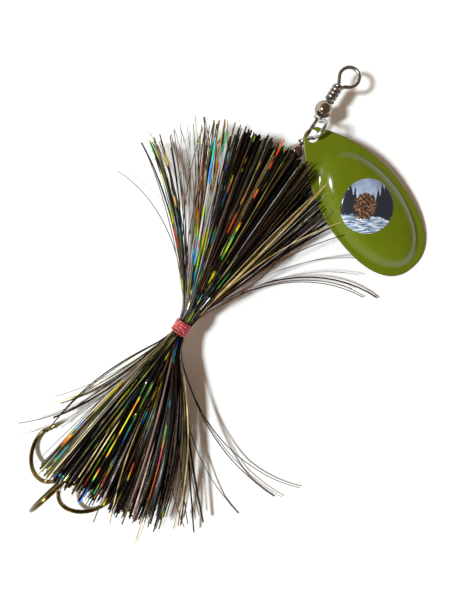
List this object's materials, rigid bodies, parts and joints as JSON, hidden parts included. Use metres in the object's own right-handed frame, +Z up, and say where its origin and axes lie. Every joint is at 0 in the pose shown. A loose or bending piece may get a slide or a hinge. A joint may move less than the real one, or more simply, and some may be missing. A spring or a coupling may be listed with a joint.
{
  "type": "in-line spinner lure",
  "caption": "In-line spinner lure: a domed blade spins on a clevis round a wire shaft ahead of a beaded, tinsel-skirted body and a treble hook.",
  "frame": {"origin": "on the axis of the wire shaft, at the middle of the line-tie eye", "axes": "+X along the shaft towards the line tie, +Z up from the table the lure lies on, +Y across, away from the blade"},
  "size_m": [0.1878, 0.1022, 0.0318],
  "materials": {
    "dark_steel": "bright drawn wire, darkened",
    "black_nickel": "polished black nickel",
    "brass": "turned, satin",
    "olive_enamel": "gloss olive-green enamel",
    "decal": "printed film under clear resin",
    "bronzed_steel": "bronzed, polished",
    "tube": "matt black tube",
    "red_thread": "red thread, varnished",
    "tinsel_front": "metallised film strands, black with iridescent colour",
    "tinsel_rear": "metallised film strands, black with silver"
  },
  "bodies": {
    "shaft": {"wire_shaft": "dark_steel", "skirt_tube": "tube", "binding_thread": "red_thread", "skirt_front": "tinsel_front", "skirt_rear": "tinsel_rear"},
    "front_bead": {"front_bead": "black_nickel"},
    "stop_bead": {"stop_bead": "black_nickel"},
    "body_bead_1": {"body_bead_1": "black_nickel"},
    "body_bead_2": {"body_bead_2": "black_nickel"},
    "body_bead_3": {"body_bead_3": "black_nickel"},
    "body_bead_4": {"body_bead_4": "black_nickel"},
    "body_bead_5": {"body_bead_5": "black_nickel"},
    "body_weight": {"body_weight": "brass"},
    "rear_bead": {"rear_bead": "black_nickel"},
    "tail_bead": {"tail_bead": "black_nickel"},
    "clevis": {"clevis": "dark_steel"},
    "blade": {"blade": "olive_enamel", "blade_decal": "decal"},
    "split_ring": {"split_ring": "dark_steel"},
    "treble": {"treble_hook": "bronzed_steel"}
  },
  "joints": [
    {"name": "front_bead_spin", "type": "hinge", "parent": "shaft", "child": "front_bead", "pos_m": [-0.01406, 0, 0], "axis": [1, 0, 0], "continuous": true},
    {"name": "stop_bead_spin", "type": "hinge", "parent": "shaft", "child": "stop_bead", "pos_m": [-0.0314, 0, 0], "axis": [1, 0, 0], "continuous": true},
    {"name": "body_bead_1_spin", "type": "hinge", "parent": "shaft", "child": "body_bead_1", "pos_m": [-0.0368, 0, 0], "axis": [1, 0, 0], "continuous": true},
    {"name": "body_bead_2_spin", "type": "hinge", "parent": "shaft", "child": "body_bead_2", "pos_m": [-0.0422, 0, 0], "axis": [1, 0, 0], "continuous": true},
    {"name": "body_bead_3_spin", "type": "hinge", "parent": "shaft", "child": "body_bead_3", "pos_m": [-0.0476, 0, 0], "axis": [1, 0, 0], "continuous": true},
    {"name": "body_bead_4_spin", "type": "hinge", "parent": "shaft", "child": "body_bead_4", "pos_m": [-0.053, 0, 0], "axis": [1, 0, 0], "continuous": true},
    {"name": "body_bead_5_spin", "type": "hinge", "parent": "shaft", "child": "body_bead_5", "pos_m": [-0.0584, 0, 0], "axis": [1, 0, 0], "continuous": true},
    {"name": "body_weight_spin", "type": "hinge", "parent": "shaft", "child": "body_weight", "pos_m": [-0.077, 0, 0], "axis": [1, 0, 0], "continuous": true},
    {"name": "rear_bead_spin", "type": "hinge", "parent": "shaft", "child": "rear_bead", "pos_m": [-0.0952, 0, 0], "axis": [1, 0, 0], "continuous": true},
    {"name": "tail_bead_spin", "type": "hinge", "parent": "shaft", "child": "tail_bead", "pos_m": [-0.1159, 0, 0], "axis": [1, 0, 0], "continuous": true},
    {"name": "clevis_spin", "type": "hinge", "parent": "shaft", "child": "clevis", "pos_m": [-0.0226, 0, 0], "axis": [-1, 0, 0], "continuous": true},
    {"name": "blade_swing", "type": "hinge", "parent": "clevis", "child": "blade", "pos_m": [-0.026, -0.00168, 0.0033], "axis": [-0.0611, -0.2116, 0.9755], "range_deg": [0, 22]},
    {"name": "ring_swing", "type": "hinge", "parent": "shaft", "child": "split_ring", "pos_m": [-0.12855, 0, 0], "axis": [0, 0, 1], "range_deg": [-12, 5]},
    {"name": "hook_swing", "type": "hinge", "parent": "split_ring", "child": "treble", "pos_m": [-0.13668, -0.00345, 0.00204], "axis": [0.3904, -0.9207, 0], "range_deg": [-15, 3]}
  ]
}
